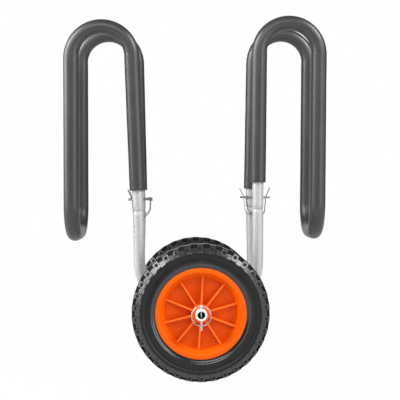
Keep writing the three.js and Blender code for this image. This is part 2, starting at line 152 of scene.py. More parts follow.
for lamp_name, (lamp_place, lamp_size, lamp_power) in lamps.items():
    lamp_data = bpy.data.lights.new(lamp_name, "AREA")
    lamp_data.shape = "RECTANGLE"
    lamp_data.size, lamp_data.size_y = lamp_size
    lamp_data.energy = lamp_power
    turn = (lamp_aim - Vector(lamp_place)).to_track_quat("-Z", "Y").to_matrix().to_4x4()
    add_object(lamp_name, lamp_data).matrix_world = Matrix.Translation(lamp_place) @ turn

floor_finish = bpy.data.materials.new("floor")
floor_tree = empty_tree(floor_finish)
paper = add_node(floor_tree, "ShaderNodeBsdfDiffuse", {"Color": (*[floor_tone] * 3, 1)})
glow = add_node(floor_tree, "ShaderNodeEmission", {"Color": (1, 1, 1, 1), "Strength": 1.0})
glow_share = combine(floor_tree, "MULTIPLY", shown_rays(floor_tree), floor_share)
lit = add_node(floor_tree, "ShaderNodeMixShader", {
    0: glow_share, 1: paper.outputs[0], 2: glow.outputs[0]})
add_node(floor_tree, "ShaderNodeOutputMaterial", {"Surface": lit.outputs[0]})
floor_bm = bmesh.new()
bmesh.ops.create_grid(floor_bm, x_segments=1, y_segments=1, size=floor_half)
add_stage("floor", floor_bm, floor_finish)

cloth_finish = bpy.data.materials.new("black cloth")
cloth_tree = empty_tree(cloth_finish)
nap = add_node(cloth_tree, "ShaderNodeBsdfDiffuse", {"Color": (*[cloth_tone] * 3, 1)})
add_node(cloth_tree, "ShaderNodeOutputMaterial", {"Surface": nap.outputs[0]})
cloth_bm = bmesh.new()
for start, end in (
    ((-room_half, room_front), (room_half, room_front)),
    ((-room_half, left_wall_front), (-room_half, room_back)),
    ((-room_half, room_back), (-backdrop_half, room_back)),
    ((room_half, right_wall_front), (room_half, room_back)),
    ((room_half, room_back), (backdrop_half, room_back)),
):
    cloth_bm.faces.new([cloth_bm.verts.new(corner) for corner in (
        (*start, 0), (*end, 0), (*end, room_height), (*start, room_height))])
cloth_bm.faces.new([cloth_bm.verts.new((x, y, room_height)) for x, y in (
    (-room_half, room_front), (room_half, room_front),
    (room_half, room_back), (-room_half, room_back))])
add_stage("cloth", cloth_bm, cloth_finish).visible_camera = False


# The axle is a cut length of round aluminium tube with a cross hole near each end, and its bore is
# painted nearly black, a painted shade. It carries the frames, which are welded on, and its length
# is that of the CAD.
axle_radius = 0.0125
axle_wall = 0.0043
axle_chamfer = 0.0008
axle_sides = 64
lynch_place = 0.198
lynch_hole = 0.0028
axle_low, axle_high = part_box("axle_tube")
axle_height = (axle_low.z + axle_high.z) / 2
axle_half = (axle_high.y - axle_low.y) / 2
axle_bore = axle_radius - axle_wall

seam_gap = 1e-6
grain_detail, grain_roughness = 3, 0.6
patch_detail, patch_roughness = 4, 0.55
mix_a, mix_b, mix_result = 6, 7, 2  # The places of a Mix node's colour sockets.


def surface_grain():
    """A node group: fine relief as a normal, and soft patches as a mask, both from noise."""
    tree = bpy.data.node_groups.new("surface grain", "ShaderNodeTree")
    for name in ("Grain Scale", "Relief", "Depth", "Patch Scale", "Patch Contrast"):
        tree.interface.new_socket(name=name, in_out="INPUT", socket_type="NodeSocketFloat")
    tree.interface.new_socket(name="Normal", in_out="OUTPUT", socket_type="NodeSocketVector")
    tree.interface.new_socket(name="Patches", in_out="OUTPUT", socket_type="NodeSocketFloat")
    given = add_node(tree, "NodeGroupInput").outputs
    where = add_node(tree, "ShaderNodeTexCoord").outputs["Object"]
    grain = add_node(tree, "ShaderNodeTexNoise", {
        "Vector": where, "Scale": given["Grain Scale"],
        "Detail": grain_detail, "Roughness": grain_roughness})
    relief = add_node(tree, "ShaderNodeBump", {
        "Height": grain.outputs["Fac"], "Strength": given["Relief"], "Distance": given["Depth"]})
    cloud = add_node(tree, "ShaderNodeTexNoise", {
        "Vector": where, "Scale": given["Patch Scale"],
        "Detail": patch_detail, "Roughness": patch_roughness})
    spread = add_node(tree, "ShaderNodeMapRange", {
        "Value": cloud.outputs["Fac"],
        "From Min": combine(tree, "SUBTRACT", 0.5, given["Patch Contrast"]),
        "From Max": combine(tree, "ADD", 0.5, given["Patch Contrast"])})
    add_node(tree, "NodeGroupOutput", {"Normal": relief.outputs[0], "Patches": spread.outputs[0]})
    return tree


grain_group = surface_grain()


def make_finish(name, colours, roughness, metal, grain, patches, specular=0.5):
    """A material with two colours and two roughnesses, which meet in soft patches. The grain is its
    scale, strength and depth, and the patches are their scale and how softly they blend."""
    finish = bpy.data.materials.new(name)
    tree = empty_tree(finish)
    skin = add_node(tree, "ShaderNodeGroup", node_tree=grain_group)
    for socket, value in zip(skin.inputs, (*grain, *patches)):
        socket.default_value = value
    colour = add_node(tree, "ShaderNodeMix", {
        "Factor": skin.outputs["Patches"], mix_a: (*colours[0], 1), mix_b: (*colours[1], 1),
    }, data_type="RGBA")
    gloss = add_node(tree, "ShaderNodeMapRange", {
        "Value": skin.outputs["Patches"], "To Min": roughness[0], "To Max": roughness[1]})
    surface = add_node(tree, "ShaderNodeBsdfPrincipled", {
        "Base Color": colour.outputs[mix_result], "Roughness": gloss.outputs[0],
        "Metallic": metal, "Normal": skin.outputs["Normal"], "Specular IOR Level": specular})
    add_node(tree, "ShaderNodeOutputMaterial", {"Surface": surface.outputs[0]})
    return finish


zinc_finish = make_finish(
    "bright zinc", ((0.55, 0.565, 0.59), (0.70, 0.71, 0.725)), roughness=(0.26, 0.40), metal=0.8,
    grain=(1800, 0.2, 0.0002), patches=(160, 0.25))
axle_finish = make_finish(
    "bright tube", ((0.78, 0.785, 0.79), (0.86, 0.862, 0.865)), roughness=(0.40, 0.52), metal=0.25,
    grain=(1800, 0.15, 0.0002), patches=(160, 0.25))
# The near-black colour of the bore is a painted shade.
bore_shade_finish = make_finish(
    "bore, painted shade", ((0.006, 0.006, 0.007), (0.014, 0.013, 0.013)), roughness=(0.7, 0.9), metal=0.0,
    grain=(900, 0.3, 0.0003), patches=(90, 0.3))


def spin_round(bm, axis, steps):
    """Spins all that a bmesh holds once round an axis through the origin, and closes the seam."""
    bmesh.ops.spin(bm, geom=bm.verts[:] + bm.edges[:], cent=(0, 0, 0), axis=axis, angle=math.tau,
                   steps=steps, use_merge=True)
    bmesh.ops.remove_doubles(bm, verts=bm.verts, dist=seam_gap)
    bmesh.ops.recalc_face_normals(bm, faces=bm.faces)


def around(corner, *offsets):
    """Points of a profile, given by their offsets from a corner that they round."""
    return [(corner[0] + out, corner[1] + along) for out, along in offsets]


def ring_profile(bore, radius, low, high, edge_round):
    """The profile of a plain ring or tube with broken edges."""
    return (
        around((bore, low), (0, edge_round), (edge_round, 0))
        + around((radius, low), (-edge_round, 0), (0, edge_round))
        + around((radius, high), (0, -edge_round), (-edge_round, 0))
        + around((bore, high), (edge_round, 0), (0, -edge_round))
    )


def turned(profile, steps=48, close=False):
    """A round solid about the Y axis from a profile of (radius, place along the axis) points."""
    bm = bmesh.new()
    points = [bm.verts.new((radius, along, 0)) for radius, along in profile]
    for pair in list(zip(points, points[1:])) + ([(points[-1], points[0])] if close else []):
        bm.edges.new(pair)
    spin_round(bm, y_axis, steps)
    return bm


def move(bm, *matrices):
    """Moves all of a bmesh by the product of the matrices."""
    product = Matrix.Identity(4)
    for matrix in matrices:
        product = product @ matrix
    bmesh.ops.transform(bm, matrix=product, verts=bm.verts)


def rod(radius, length, place, direction, bm=None, segments=24):
    """A plain round rod, to drill with."""
    bm = bm or bmesh.new()
    turn = z_axis.rotation_difference(direction).to_matrix().to_4x4()
    bmesh.ops.create_cone(bm, segments=segments, radius1=radius, radius2=radius, depth=length,
                          cap_ends=True, matrix=Matrix.Translation(place) @ turn)
    return bm


def drill(bm, drill_bm):
    """Takes the solid of one bmesh out of another and gives back what is left."""
    meshes = [bpy.data.meshes.new("blank"), bpy.data.meshes.new("drill")]
    for mesh, shape in zip(meshes, (bm, drill_bm)):
        shape.to_mesh(mesh)
        shape.free()
    blank, tool = (add_object(mesh.name, mesh) for mesh in meshes)
    cut = blank.modifiers.new("hole", "BOOLEAN")
    cut.operation, cut.solver, cut.object = "DIFFERENCE", "EXACT", tool
    drilled = bmesh.new()
    drilled.from_object(blank, bpy.context.evaluated_depsgraph_get())
    for part, mesh in zip((blank, tool), meshes):
        bpy.data.objects.remove(part)
        bpy.data.meshes.remove(mesh)
    return drilled


def set_piece(name, bm, finishes, body, nodes=(), sharp_angle=38):
    """Makes a piece of a bmesh. It rides on a body and stands for CAD nodes."""
    mesh = bpy.data.meshes.new(name)
    bm.to_mesh(mesh)
    bm.free()
    mesh.shade_smooth()
    mesh.set_sharp_from_angle(angle=math.radians(sharp_angle))
    for finish in finishes:
        mesh.materials.append(finish)
    piece = add_object(name, mesh)
    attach(piece, body)
    if nodes:
        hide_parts(*nodes)
    return piece


axle_bm = turned(ring_profile(axle_bore, axle_radius, -axle_half, axle_half, axle_chamfer),
                 steps=axle_sides, close=True)
# The faces of the bore take the second finish, painted nearly black: a painted shade.
for face in axle_bm.faces:
    middle = face.calc_center_median()
    if math.hypot(middle.x, middle.z) < axle_bore + axle_chamfer / 4:
        face.material_index = 1
cross_holes = rod(lynch_hole, 3 * axle_radius, (0, -lynch_place, 0), z_axis)
rod(lynch_hole, 3 * axle_radius, (0, lynch_place, 0), z_axis, cross_holes)
axle_bm = drill(axle_bm, cross_holes)
move(axle_bm, Matrix.Translation((0, 0, axle_height)))
set_piece("axle", axle_bm, [axle_finish, bore_shade_finish], "frame", ["axle_tube"])


# The lower frames are one aluminium tube each, bent to a U, with both ends drawn down to spigots
# that the loop tubes slide over. The bottom run is notched over the axle and welded to it all
# round. The arms and legs each lean by a small angle of their own.
tube_radius = 0.0125
tube_wall = 0.0015
tube_sides = 36
tube_pitch = 0.012
tube_edge_round, tube_end_angle = 0.0004, 60
slip_gap = 0.0003
joint_height = 0.398
joint_half_spread = 0.1345
joint_tail = 0.024
joint_hole = 0.0028
spigot_radius = tube_radius - tube_wall - slip_gap
spigot_share = spigot_radius / tube_radius
spigot_rise = 0.036
spigot_top = joint_height + spigot_rise
tube_end_height = joint_height - joint_tail
swage_length = 0.010
swage_end_share, flare_share = 0.12, 0.1
swage_top = tube_end_height - slip_gap
swage_bottom = swage_top - swage_length
flare = 1 + (1 / spigot_share - 1) * flare_share
brim = 0.992
arm_plane = 0.092
arm_leans = {"near": (1.40, 1.50), "far": (0.45, 1.95)}  # The left arm's and the right arm's.
leg_leans = {"near": (0.3, 1.25), "far": (-2.3, -0.2)}
leg_bend_radius, leg_bend_steps = 0.15, 3
frame_bend_radius, frame_bend_steps = 0.080, 20
frame_run_height = 0.172
weld_radius, weld_reach = 0.0022, 0.0086
weld_sides, weld_steps = 10, 104
weld_ripple, weld_ripples = 0.09, 26
weld_grain, weld_grain_scale = 0.06, 300

tube_finish = make_finish(
    "matte tube", ((0.455, 0.458, 0.462), (0.525, 0.528, 0.532)), roughness=(0.42, 0.52), metal=0.4,
    grain=(520, 0.25, 0.0004), patches=(330, 0.2))


def only(kind, made):
    """What an operator made of one kind: vertices, edges or faces."""
    return [part for part in made if isinstance(part, kind)]


def round_edges(bm, edges, offset, segments, **options):
    """Rounds edges of a bmesh."""
    bmesh.ops.bevel(bm, geom=edges, offset=offset, segments=segments, profile=0.5,
                    affect="EDGES", material=-1, **options)


def bent_tube(radius, place, heading, moves, segments=tube_sides, pitch=tube_pitch):
    """The skin of a tube that a bender makes by moves, one after the other. A straight has a
    length, a bend a radius, an angle, an axis and a number of steps, and a neck a length and the
    share of its size that the tube leaves it with."""
    bm = bmesh.new()
    start = Matrix.Translation(place) @ z_axis.rotation_difference(heading).to_matrix().to_4x4()
    ring = bmesh.ops.create_circle(bm, segments=segments, radius=radius, matrix=start)["verts"]
    edges = list(bm.edges)
    place, heading = Vector(place), Vector(heading).normalized()
    for kind, *sizes in moves:
        if kind == "bend":
            bend_radius, angle, axis, steps = sizes
            centre = place + axis.cross(heading) * math.copysign(bend_radius, angle)
            last = bmesh.ops.spin(bm, geom=ring + edges, cent=centre, axis=axis,
                                  angle=math.radians(angle), steps=steps)["geom_last"]
            turn = Matrix.Rotation(math.radians(angle), 3, axis)
            place, heading = centre + turn @ (place - centre), turn @ heading
            ring, edges = only(bmesh.types.BMVert, last), only(bmesh.types.BMEdge, last)
        else:
            length, ring_share = sizes[0], (sizes[1] if kind == "neck" else 1)
            cuts = 1 if kind == "neck" else max(1, round(length / pitch))
            for _ in range(cuts):
                made = bmesh.ops.extrude_edge_only(bm, edges=edges)["geom"]
                ring = only(bmesh.types.BMVert, made)
                edges = [edge for edge in only(bmesh.types.BMEdge, made) if edge.is_boundary]
                bmesh.ops.translate(bm, verts=ring, vec=heading * length / cuts)
                place = place + heading * length / cuts
            bmesh.ops.scale(bm, verts=ring, vec=(ring_share,) * 3,
                            space=Matrix.Translation(-place))
    bmesh.ops.recalc_face_normals(bm, faces=bm.faces)
    return bm


def give_wall(bm, wall, edge_round):
    """Turns an open tube's skin into a tube with a wall inside it, and rounds its ends' edges."""
    bmesh.ops.solidify(bm, geom=bm.faces[:] + bm.edges[:] + bm.verts[:], thickness=wall)
    end_angle = math.radians(tube_end_angle)
    sharp = [edge for edge in bm.edges if edge.calc_face_angle(0) > end_angle]
    round_edges(bm, sharp, edge_round, 2)


def leg_moves(arm_lean, leg_lean):
    """The moves down one leg of a lower frame to its run, and how far from the middle they end."""
    arm_rise, leg_rise = math.cos(math.radians(arm_lean)), math.cos(math.radians(leg_lean))
    leg_slope = math.tan(math.radians(leg_lean))
    bend_angle = arm_lean - leg_lean
    bend_slope = math.tan(math.radians(arm_lean + leg_lean) / 2)
    straight_end = swage_bottom - leg_bend_radius * math.radians(abs(bend_angle))
    bend_start = frame_run_height + frame_bend_radius * (1 - math.sin(math.radians(leg_lean)))
    leg_end = joint_half_spread - (joint_height - straight_end) * bend_slope
    leg_end -= (straight_end - bend_start) * leg_slope + frame_bend_radius * leg_rise
    return [
        ("straight", (spigot_top - swage_top) / arm_rise),
        ("neck", swage_length * swage_end_share, flare),
        ("neck", swage_length * (1 - 2 * swage_end_share), brim / spigot_share / flare),
        ("neck", swage_length * swage_end_share, 1 / brim),
        ("bend", leg_bend_radius, bend_angle, y_axis, leg_bend_steps),
        ("straight", (straight_end - bend_start) / leg_rise),
        ("bend", frame_bend_radius, leg_lean - 90, y_axis, frame_bend_steps),
    ], leg_end


def weld_bead(plane):
    """A rippled bead of weld round the notch by which a lower frame sits on the axle."""
    bm = bmesh.new()
    bmesh.ops.create_circle(
        bm, segments=weld_sides, radius=weld_radius,
        matrix=Matrix.Translation((weld_reach, 0, 0)) @ Matrix.Rotation(math.pi / 2, 4, "X"))
    spin_round(bm, z_axis, weld_steps)
    for vert in bm.verts:
        round_by = math.atan2(vert.co.y, vert.co.x)
        middle = Vector((math.cos(round_by), math.sin(round_by), 0)) * weld_reach
        swell = 1 + weld_ripple * math.sin(weld_ripples * round_by)
        swell += weld_grain * noise.noise(vert.co * weld_grain_scale)
        saddle = axle_height + math.sqrt(axle_radius ** 2 - middle.x ** 2)
        vert.co = middle + (vert.co - middle) * swell + Vector((0, plane * arm_plane, saddle))
    return bm


for plane_name, plane in planes.items():
    (left_arm, right_arm), (left_leg, right_leg) = arm_leans[plane_name], leg_leans[plane_name]
    left_moves, left_end = leg_moves(left_arm, left_leg)
    right_moves, right_end = leg_moves(right_arm, right_leg)
    back_up = [("neck", sizes[0], 1 / sizes[1]) if kind == "neck" else (kind, *sizes)
               for kind, *sizes in reversed(right_moves)]
    down = Vector((math.sin(math.radians(left_arm)), 0, -math.cos(math.radians(left_arm))))
    spigot_end = Vector((-joint_half_spread, plane * arm_plane, joint_height))
    spigot_end -= down * spigot_rise / -down.z
    frame_bm = bent_tube(spigot_radius, spigot_end, down,
                         left_moves + [("straight", left_end + right_end)] + back_up)
    give_wall(frame_bm, tube_wall, tube_edge_round)
    cuts = rod(joint_hole, 4 * joint_half_spread, (0, plane * arm_plane, joint_height), x_axis)
    rod(axle_radius + slip_gap, 4 * axle_radius, (0, plane * arm_plane, axle_height), y_axis, cuts,
        segments=axle_sides)
    set_piece(f"frame_{plane_name}", drill(frame_bm, cuts), [tube_finish], "frame",
              [f"lower_frame_{plane_name}"])
    set_piece(f"weld_{plane_name}", weld_bead(plane), [tube_finish], "frame")


# Each loop is one aluminium tube. It rises from the near joint, hooks over outwards, runs down the
# outer leg, crosses to the far side with two quarter bends and a short straight between them, and
# comes back the same way. The bends are a little uneven. The legs' lean is to the left, going down.
loop_bends = {
    "left": {"leg_lean": 0.80, "near_top": 0.7852, "far_top": 0.7950, "bottom": 0.3222,
             "hook_radius": 0.0678},
    "right": {"leg_lean": 1.40, "near_top": 0.7887, "far_top": 0.7912, "bottom": 0.3175,
              "hook_radius": 0.0672},
}
loop_bend_steps = 32
bottom_radius = 0.065
hook_press = 0.07


def loop_route(side_name, near_end, far_end, bend_steps):
    """Where a loop starts and heads, and the straights and bends that a tube bender makes of it."""
    side, bends = sides[side_name], loop_bends[side_name]
    bend_radius, leg_lean = bends["hook_radius"], math.radians(bends["leg_lean"])
    down_leg = Vector((-math.sin(leg_lean), 0, -math.cos(leg_lean)))
    arms, leg_tops, turns, arm_lengths = [], [], [], []
    for plane_name, end in (("near", near_end), ("far", far_end)):
        lean = math.radians(arm_leans[plane_name][side > 0])
        centre_height = bends[f"{plane_name}_top"] - bend_radius
        rising = Vector((side * math.sin(lean), 0, math.cos(lean)))
        foot = Vector((side * joint_half_spread, planes[plane_name] * arm_plane, joint_height))
        foot += rising * (end - joint_height) / rising.z
        arm_rise = centre_height + bend_radius * math.sin(lean) - foot.z
        shoulder = foot + rising * arm_rise / rising.z
        centre = shoulder + Vector((side * math.cos(lean), 0, -math.sin(lean))) * bend_radius
        to_leg = side * Vector((math.cos(leg_lean), 0, -math.sin(leg_lean)))
        leg_tops.append(centre + to_leg * bend_radius)
        arms.append((foot, rising))
        arm_lengths.append((shoulder - foot).length)
        turns.append(side * (180 - math.degrees(lean)) + bends["leg_lean"])
    leg_foot = bends["bottom"] + bottom_radius
    leg_lengths = [(leg_top.z - leg_foot) / math.cos(leg_lean) for leg_top in leg_tops]
    crossing = leg_tops[1] + down_leg * leg_lengths[1] - leg_tops[0] - down_leg * leg_lengths[0]
    bottom_axis = down_leg.cross(crossing.normalized()).normalized()
    quarter_bend = ("bend", bottom_radius, 90, bottom_axis, bend_steps // 2)
    return (*arms[0], [
        ("straight", arm_lengths[0]),
        ("bend", bend_radius, turns[0], y_axis, bend_steps),
        ("straight", leg_lengths[0]),
        quarter_bend,
        ("straight", crossing.length - 2 * bottom_radius),
        quarter_bend,
        ("straight", leg_lengths[1]),
        ("bend", bend_radius, -turns[1], y_axis, bend_steps),
        ("straight", arm_lengths[1]),
    ])


def press_hooks(bm, side_name):
    """Presses a bent tube a little flatter in its hooks, as bending does, inside and outside."""
    side, bends = sides[side_name], loop_bends[side_name]
    bend_radius = bends["hook_radius"]
    for vert in bm.verts:
        plane_name = "near" if vert.co.y < 0 else "far"
        lean = math.radians(arm_leans[plane_name][side > 0])
        centre_height = bends[f"{plane_name}_top"] - bend_radius
        reach = joint_half_spread + (centre_height - joint_height) * math.tan(lean)
        centre_x = side * (reach + bend_radius / math.cos(lean))
        arm = vert.co - Vector((centre_x, vert.co.y, centre_height))
        if arm.z > 0:
            pressed = hook_press * math.sqrt(arm.z / arm.length)
            vert.co -= arm.normalized() * (arm.length - bend_radius) * pressed


for side_name, side in sides.items():
    loop_bm = bent_tube(tube_radius, *loop_route(side_name, tube_end_height, tube_end_height,
                                                 loop_bend_steps))
    give_wall(loop_bm, tube_wall, tube_edge_round)
    press_hooks(loop_bm, side_name)
    cuts = bmesh.new()
    for plane in planes.values():
        rod(joint_hole, 4 * tube_radius,
            (side * joint_half_spread, plane * arm_plane, joint_height), x_axis, cuts)
    set_piece(f"loop_{side_name}", drill(loop_bm, cuts), [tube_finish], "frame",
              [f"loop_tube_{side_name}"])


# The sleeves are closed-cell foam tubes, pulled over the loops before these were bent. Their skin
# is smooth and slightly uneven, and the right one's near end has crept up its tube.
foam_radius = 0.0175
foam_sides = 48
foam_pitch = 0.006
foam_bend_steps = 48
foam_ends = {"left": (0.4182, 0.4185), "right": (0.4318, 0.4182)}
foam_end_round = 0.0009
foam_swell, foam_swell_scale = 0.0002, 28

foam_finish = make_finish(
    "foam", ((0.029, 0.0295, 0.0315), (0.038, 0.0385, 0.041)), roughness=(0.36, 0.43), metal=0.0,
    grain=(1500, 0.2, 0.0002), patches=(30, 0.3), specular=0.6)

for side_name in sides:
    foam_bm = bent_tube(foam_radius, *loop_route(side_name, *foam_ends[side_name], foam_bend_steps),
                        segments=foam_sides, pitch=foam_pitch)
    foam_bm.normal_update()
    for vert in foam_bm.verts:
        vert.co += vert.normal * foam_swell * noise.noise(vert.co * foam_swell_scale)
    give_wall(foam_bm, foam_radius - tube_radius - slip_gap, foam_end_round)
    press_hooks(foam_bm, side_name)
    sleeve = set_piece(f"foam_{side_name}", foam_bm, [foam_finish], "frame",
                       [f"foam_sleeve_{side_name}"])


# A wire-lock pin goes through each joint: a turned steel pin with a knob at its tip, and a bow of
# spring wire hinged in its head. The bow passes round the tube, and its open end hooks behind the
# knob. The far right pin goes in from outside, and the left near one is pulled out a little.
pin_radius = 0.0025
pin_head_radius, pin_head_end, pin_head_back = 0.0035, -0.028, -0.020
pin_neck_radius = 0.0021
pin_knob_radius = 0.0029
pin_tip_reach = 0.027
pin_reach = 0.024
pin_pull = 0.005
pin_sides = 32
eye_radius = 0.0018
bow_radius = 0.0011
bow_sides, bow_pitch, bow_end_round = 14, 0.006, 0.0004
bow_tilt = 18
bow_offset = 0.0049
bow_head_radius = 0.0025
bow_toe, bow_stem = -4, 0.020002
bow_under = -100
bow_corner_radius, bow_corner = 0.012, -72
bow_rise = 0.033
bow_flick_radius, bow_flick, bow_tail = 0.006, 18, 0.022

pins = {  # Whether the head is inside the loops, and how far the pin is pulled out.
    ("left", "near"): (True, pin_pull), ("right", "near"): (True, 0),
    ("left", "far"): (True, 0), ("right", "far"): (False, 0),
}
pin_profile = (
    [(0, pin_head_end)]
    + around((pin_head_radius, pin_head_end), (-0.0007, 0), (0, 0.0007))
    + around((pin_head_radius, pin_head_back), (0, -0.0005), (-0.0005, 0))
    + [(pin_radius, pin_head_back)]
    + around((pin_radius, pin_tip_reach), (0, -0.0078))
    + around((pin_neck_radius, pin_tip_reach), (0, -0.0070), (0, -0.0042))
    + around((pin_knob_radius, pin_tip_reach), (-0.0003, -0.0034), (0, -0.0028), (-0.0003, -0.0021))
    + around((pin_radius / 2, pin_tip_reach), (0.0003, -0.0003), (0, 0))
    + [(0, pin_tip_reach)]
)

wire_finish = make_finish(
    "spring wire", ((0.17, 0.175, 0.18), (0.30, 0.305, 0.31)), roughness=(0.30, 0.44), metal=0.85,
    grain=(2200, 0.2, 0.0002), patches=(240, 0.3))


def close_ends(bm, edge_round):
    """Closes a bar's open ends and rounds their edges."""
    rims = [edge for edge in bm.edges if edge.is_boundary]
    bmesh.ops.holes_fill(bm, edges=rims)
    bmesh.ops.recalc_face_normals(bm, faces=bm.faces)
    round_edges(bm, rims, edge_round, 3)


def bow_moves(bow_side):
    """A bow's way through the head's eye, down, round below the tube, up past the knob and out."""
    return [
        ("straight", 2 * bow_offset - bow_head_radius),
        ("bend", bow_head_radius, 90, -bow_side * x_axis, 8),
        ("bend", bow_head_radius, bow_toe, y_axis, 1),
        ("straight", bow_stem),
        ("bend", pin_reach, bow_under, y_axis, 24),
        ("bend", bow_corner_radius, bow_corner, y_axis, 16),
        ("straight", bow_rise),
        ("bend", bow_flick_radius, bow_flick, y_axis, 5),
        ("straight", bow_tail),
    ]


for (side_name, plane_name), (head_inside, pull) in pins.items():
    side, plane = sides[side_name], planes[plane_name]
    tip_way = side if head_inside else -side
    bow_side = -plane * tip_way
    place = Matrix.Translation((
        side * joint_half_spread - tip_way * pull, plane * arm_plane, joint_height))
    turn = Matrix.Rotation(0 if tip_way > 0 else math.pi, 4, "Z")
    tilt = Matrix.Rotation(bow_side * math.radians(bow_tilt), 4, "X")

    pin_bm = turned(pin_profile, steps=pin_sides)
    move(pin_bm, Matrix.Rotation(-math.pi / 2, 4, "Z"))
    pin_bm = drill(pin_bm, rod(eye_radius, 4 * pin_head_radius, (-pin_reach, 0, 0), tilt @ y_axis))
    move(pin_bm, place, turn)
    set_piece(f"pin_{side_name}_{plane_name}", pin_bm, [wire_finish], "frame",
              [f"joint_pin_{side_name}_{plane_name}"])

    bow_bm = bent_tube(bow_radius, (-pin_reach, -bow_side * bow_offset, 0), bow_side * y_axis,
                       bow_moves(bow_side), segments=bow_sides, pitch=bow_pitch)
    close_ends(bow_bm, bow_end_round)
    move(bow_bm, place, turn, tilt)
    set_piece(f"bow_{side_name}_{plane_name}", bow_bm, [wire_finish],
              f"bow_{side_name}_{plane_name}", [f"pin_bow_{side_name}_{plane_name}"])


# Each rim is one moulding of orange plastic, alike on both faces: a barrel with a rolled lip on
# each edge, a dished web, a hub and ten tapered ribs whose crests are painted a lighter orange, a
# painted highlight. A black nylon bush is pressed into the hub from behind.
wheel_place = 0.150
wheel_gap = 0.0004
axle_clear = axle_radius + wheel_gap
hub_radius = 0.0195
bush_radius, bush_front = 0.0159, 0.0297
bush_seat, bush_seat_end = 0.0162, bush_front + slip_gap
rim_half = 0.033
rim_floor_radius, rim_floor = 0.076, 0.004
rim_mouth_radius = 0.088
flange_radius, flange_back = 0.0990, 0.030
barrel_radius = 0.0912
rim_steps, rim_sharp_angle = 96, 30
rib_count = 10
rib_turn = 4.1
rib_base, rib_top = 0.0048, 0.0036
rib_hub_height, rib_rim_height = 0.025, 0.015
rib_hub_overlap, rib_floor_overlap, rib_mouth_gap = 0.003, 0.0036, 0.001
rib_round = 0.0005
rib_highlight_slope = 0.5

orange_finish = make_finish(
    "orange plastic", ((0.80, 0.100, 0.001), (0.86, 0.114, 0.0015)), roughness=(0.34, 0.42),
    metal=0.0, grain=(1600, 0.12, 0.0002), patches=(22, 0.3), specular=0.14)
# The lighter orange of the rib crests is a painted highlight where they face the light.
rib_crest_highlight_finish = make_finish(
    "orange plastic, painted highlight", ((0.93, 0.165, 0.012), (0.98, 0.19, 0.018)), roughness=(0.40, 0.5),
    metal=0.0, grain=(1600, 0.12, 0.0002), patches=(22, 0.3), specular=0.25)
nylon_finish = make_finish(
    "black nylon", ((0.018, 0.018, 0.019), (0.028, 0.028, 0.029)), roughness=(0.42, 0.58),
    metal=0.0, grain=(1700, 0.25, 0.0002), patches=(120, 0.3))

rim_face = (
    around((hub_radius, rim_half), (-0.0009, 0), (-0.0003, -0.0003), (0, -0.0010))
    + around((hub_radius, rim_floor), (0.0006, 0.0022), (0.0012, 0.0008), (0.0028, 0))
    + around((rim_floor_radius, rim_floor), (-0.0032, 0), (-0.0008, 0.0008), (0.0011, 0.0028))
    + around((rim_mouth_radius, rim_half), (-0.0010, -0.0026), (-0.0004, -0.0014),
             (0.0004, -0.0006), (0.0015, -0.0001), (0.0026, 0), (0.0052, -0.0001))
    + around((flange_radius, rim_half), (-0.0022, -0.0005), (-0.0006, -0.0012), (0, -0.0022))
    + around((flange_radius, flange_back), (-0.0001, 0.0002), (-0.0005, 0))
    + [(barrel_radius, flange_back)]
)
rim_profile = (
    [(axle_clear, bush_seat_end)]
    + around((axle_clear, rim_half), (0, -0.0004), (0.0004, 0))
    + rim_face + [(radius, -along) for radius, along in reversed(rim_face)]
    + around((bush_seat, -rim_half), (0.0004, 0), (0, 0.0004))
    + [(bush_seat, bush_seat_end)]
)
bush_profile = (
    around((axle_clear, -rim_half), (0, 0.0005), (0.0005, 0))
    + around((bush_radius, -rim_half), (-0.0004, 0), (0, 0.0004))
    + around((bush_radius, bush_front), (0, -0.0004), (-0.0004, 0))
    + around((axle_clear, bush_front), (0.0004, 0), (0, -0.0004))
)


def wheel_seat(plane):
    """Puts a wheel on its end of the axle, with its front outwards."""
    turn = Matrix.Rotation(0 if plane > 0 else math.pi, 4, "Z")
    return Matrix.Translation((0, plane * wheel_place, axle_height)) @ turn


def mirror(bm):
    """Mirrors a bmesh to the other side of a wheel's middle."""
    move(bm, Matrix.Scale(-1, 4, y_axis))
    bmesh.ops.reverse_faces(bm, faces=bm.faces)


def join(bm, other_bm):
    """Moves what one bmesh holds into another."""
    carrier = bpy.data.meshes.new("carrier")
    other_bm.to_mesh(carrier)
    other_bm.free()
    bm.from_mesh(carrier)
    bpy.data.meshes.remove(carrier)


def rib(turned_by, face):
    """A tapered rib from the hub to the rim's slope, on one face of the web."""
    bm = bmesh.new()
    outline = bm.faces.new([bm.verts.new((along, height, 0)) for along, height in (
        (hub_radius - rib_hub_overlap, 0), (rim_floor_radius + rib_floor_overlap, 0),
        (rim_mouth_radius - rib_mouth_gap, rib_rim_height),
        (hub_radius - rib_hub_overlap, rib_hub_height))])
    made = bmesh.ops.extrude_face_region(bm, geom=[outline])["geom"]
    bmesh.ops.translate(bm, verts=only(bmesh.types.BMVert, made), vec=(0, 0, 1))
    for vert in bm.verts:
        half = (rib_base + (rib_top - rib_base) * min(1, vert.co.y / rib_hub_height)) / 2
        vert.co.z = half if vert.co.z > 0.5 else -half
    bmesh.ops.recalc_face_normals(bm, faces=bm.faces)
    crest = [edge for edge in bm.edges
             if all(vert.co.y > rib_rim_height / 2 for vert in edge.verts)]
    round_edges(bm, crest, rib_round, 2)
    bm.normal_update()
    # Faces turned out from the web get the lighter orange, a painted highlight.
    for made_face in bm.faces:
        made_face.material_index = int(made_face.normal.y > rib_highlight_slope)
    move(bm, Matrix.Rotation(math.radians(turned_by), 4, "Y"),
         Matrix.Rotation(-math.pi / 2, 4, "Y"))
    if face < 0:
        mirror(bm)
    return bm


